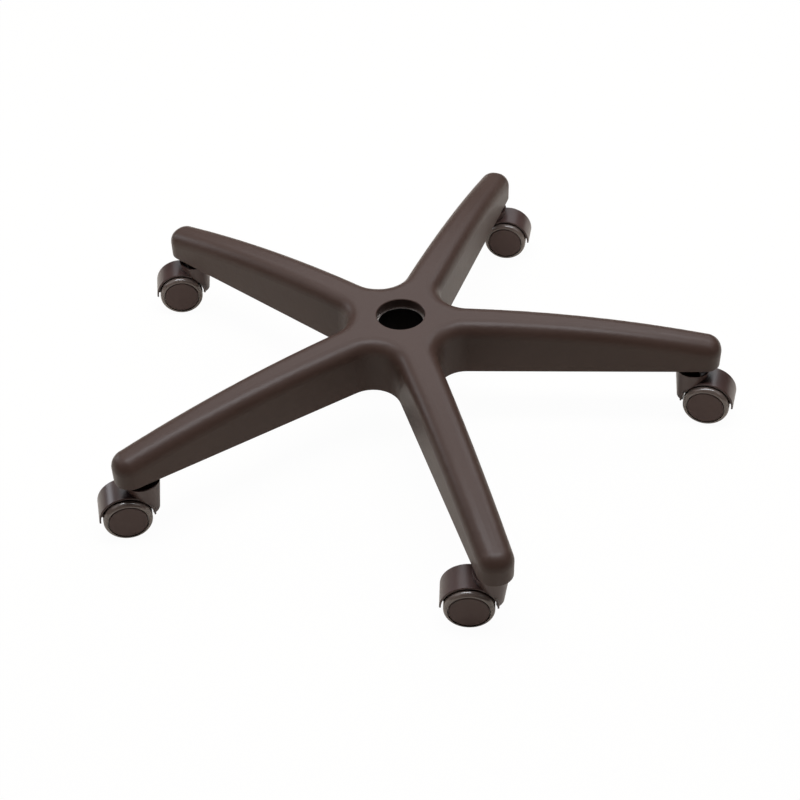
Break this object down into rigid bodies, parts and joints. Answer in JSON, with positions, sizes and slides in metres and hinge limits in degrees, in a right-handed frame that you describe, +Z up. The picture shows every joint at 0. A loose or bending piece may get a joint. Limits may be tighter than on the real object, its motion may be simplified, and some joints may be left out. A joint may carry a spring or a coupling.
{
  "type": "office chair five star base",
  "caption": "Star-shaped office chair base with drooping ribbed arms, a tapered gas-column socket in its hub and hooded, swivelling casters under the arm tips.",
  "frame": {"origin": "centre of the gas-column socket's mouth, on the hub's top face", "axes": "+Z up along the socket, +X along the first arm"},
  "size_m": [0.6726, 0.6542, 0.1309],
  "materials": {
    "star_nylon": "fine-textured glass-filled nylon, warm charcoal",
    "hood_nylon": "smooth moulded nylon, warm charcoal",
    "wheel_nylon": "smooth hard nylon tread with a soft sheen",
    "cap_nylon": "fine-textured moulded disc",
    "sleeve_steel": "plain turned steel",
    "pin_steel": "zinc-plated turned steel",
    "spring_steel": "dark spring steel"
  },
  "bodies": {
    "base": {"star_base": "star_nylon", "hub_sleeve": "sleeve_steel", "caster_stem_1": "pin_steel", "grip_ring_1": "spring_steel", "stem_clip_1": "spring_steel", "caster_stem_2": "pin_steel", "grip_ring_2": "spring_steel", "stem_clip_2": "spring_steel", "caster_stem_3": "pin_steel", "grip_ring_3": "spring_steel", "stem_clip_3": "spring_steel", "caster_stem_4": "pin_steel", "grip_ring_4": "spring_steel", "stem_clip_4": "spring_steel", "caster_stem_5": "pin_steel", "grip_ring_5": "spring_steel", "stem_clip_5": "spring_steel"},
    "swivel_1": {"caster_hood_1": "hood_nylon", "axle_1": "pin_steel"},
    "roller_left_1": {"wheel_left_1": "wheel_nylon", "wheel_cap_left_1": "cap_nylon"},
    "roller_right_1": {"wheel_right_1": "wheel_nylon", "wheel_cap_right_1": "cap_nylon"},
    "swivel_2": {"caster_hood_2": "hood_nylon", "axle_2": "pin_steel"},
    "roller_left_2": {"wheel_left_2": "wheel_nylon", "wheel_cap_left_2": "cap_nylon"},
    "roller_right_2": {"wheel_right_2": "wheel_nylon", "wheel_cap_right_2": "cap_nylon"},
    "swivel_3": {"caster_hood_3": "hood_nylon", "axle_3": "pin_steel"},
    "roller_left_3": {"wheel_left_3": "wheel_nylon", "wheel_cap_left_3": "cap_nylon"},
    "roller_right_3": {"wheel_right_3": "wheel_nylon", "wheel_cap_right_3": "cap_nylon"},
    "swivel_4": {"caster_hood_4": "hood_nylon", "axle_4": "pin_steel"},
    "roller_left_4": {"wheel_left_4": "wheel_nylon", "wheel_cap_left_4": "cap_nylon"},
    "roller_right_4": {"wheel_right_4": "wheel_nylon", "wheel_cap_right_4": "cap_nylon"},
    "swivel_5": {"caster_hood_5": "hood_nylon", "axle_5": "pin_steel"},
    "roller_left_5": {"wheel_left_5": "wheel_nylon", "wheel_cap_left_5": "cap_nylon"},
    "roller_right_5": {"wheel_right_5": "wheel_nylon", "wheel_cap_right_5": "cap_nylon"}
  },
  "joints": [
    {"name": "caster_swivel_1", "type": "hinge", "parent": "base", "child": "swivel_1", "pos_m": [0.315, 0, -0.0632], "axis": [0, 0, 1], "continuous": true},
    {"name": "wheel_spin_left_1", "type": "hinge", "parent": "swivel_1", "child": "roller_left_1", "pos_m": [0.33479, -0.00494, -0.1059], "axis": [0.2419, 0.9703, 0], "continuous": true},
    {"name": "wheel_spin_right_1", "type": "hinge", "parent": "swivel_1", "child": "roller_right_1", "pos_m": [0.33479, -0.00494, -0.1059], "axis": [0.2419, 0.9703, 0], "continuous": true},
    {"name": "caster_swivel_2", "type": "hinge", "parent": "base", "child": "swivel_2", "pos_m": [0.09734, 0.29958, -0.0632], "axis": [0, 0, 1], "continuous": true},
    {"name": "wheel_spin_left_2", "type": "hinge", "parent": "swivel_2", "child": "roller_left_2", "pos_m": [0.11754, 0.29674, -0.1059], "axis": [0.1392, 0.9903, 0], "continuous": true},
    {"name": "wheel_spin_right_2", "type": "hinge", "parent": "swivel_2", "child": "roller_right_2", "pos_m": [0.11754, 0.29674, -0.1059], "axis": [0.1392, 0.9903, 0], "continuous": true},
    {"name": "caster_swivel_3", "type": "hinge", "parent": "base", "child": "swivel_3", "pos_m": [-0.25484, 0.18515, -0.0632], "axis": [0, 0, 1], "continuous": true},
    {"name": "wheel_spin_left_3", "type": "hinge", "parent": "swivel_3", "child": "roller_left_3", "pos_m": [-0.27493, 0.18161, -0.1059], "axis": [0.1736, -0.9848, 0], "continuous": true},
    {"name": "wheel_spin_right_3", "type": "hinge", "parent": "swivel_3", "child": "roller_right_3", "pos_m": [-0.27493, 0.18161, -0.1059], "axis": [0.1736, -0.9848, 0], "continuous": true},
    {"name": "caster_swivel_4", "type": "hinge", "parent": "base", "child": "swivel_4", "pos_m": [-0.25484, -0.18515, -0.0632], "axis": [0, 0, 1], "continuous": true},
    {"name": "wheel_spin_left_4", "type": "hinge", "parent": "swivel_4", "child": "roller_left_4", "pos_m": [-0.27454, -0.19043, -0.1059], "axis": [0.2588, -0.9659, 0], "continuous": true},
    {"name": "wheel_spin_right_4", "type": "hinge", "parent": "swivel_4", "child": "roller_right_4", "pos_m": [-0.27454, -0.19043, -0.1059], "axis": [0.2588, -0.9659, 0], "continuous": true},
    {"name": "caster_swivel_5", "type": "hinge", "parent": "base", "child": "swivel_5", "pos_m": [0.09734, -0.29958, -0.0632], "axis": [0, 0, 1], "continuous": true},
    {"name": "wheel_spin_left_5", "type": "hinge", "parent": "swivel_5", "child": "roller_left_5", "pos_m": [0.07694, -0.29958, -0.1059], "axis": [0, -1, 0], "continuous": true},
    {"name": "wheel_spin_right_5", "type": "hinge", "parent": "swivel_5", "child": "roller_right_5", "pos_m": [0.07694, -0.29958, -0.1059], "axis": [0, -1, 0], "continuous": true}
  ]
}
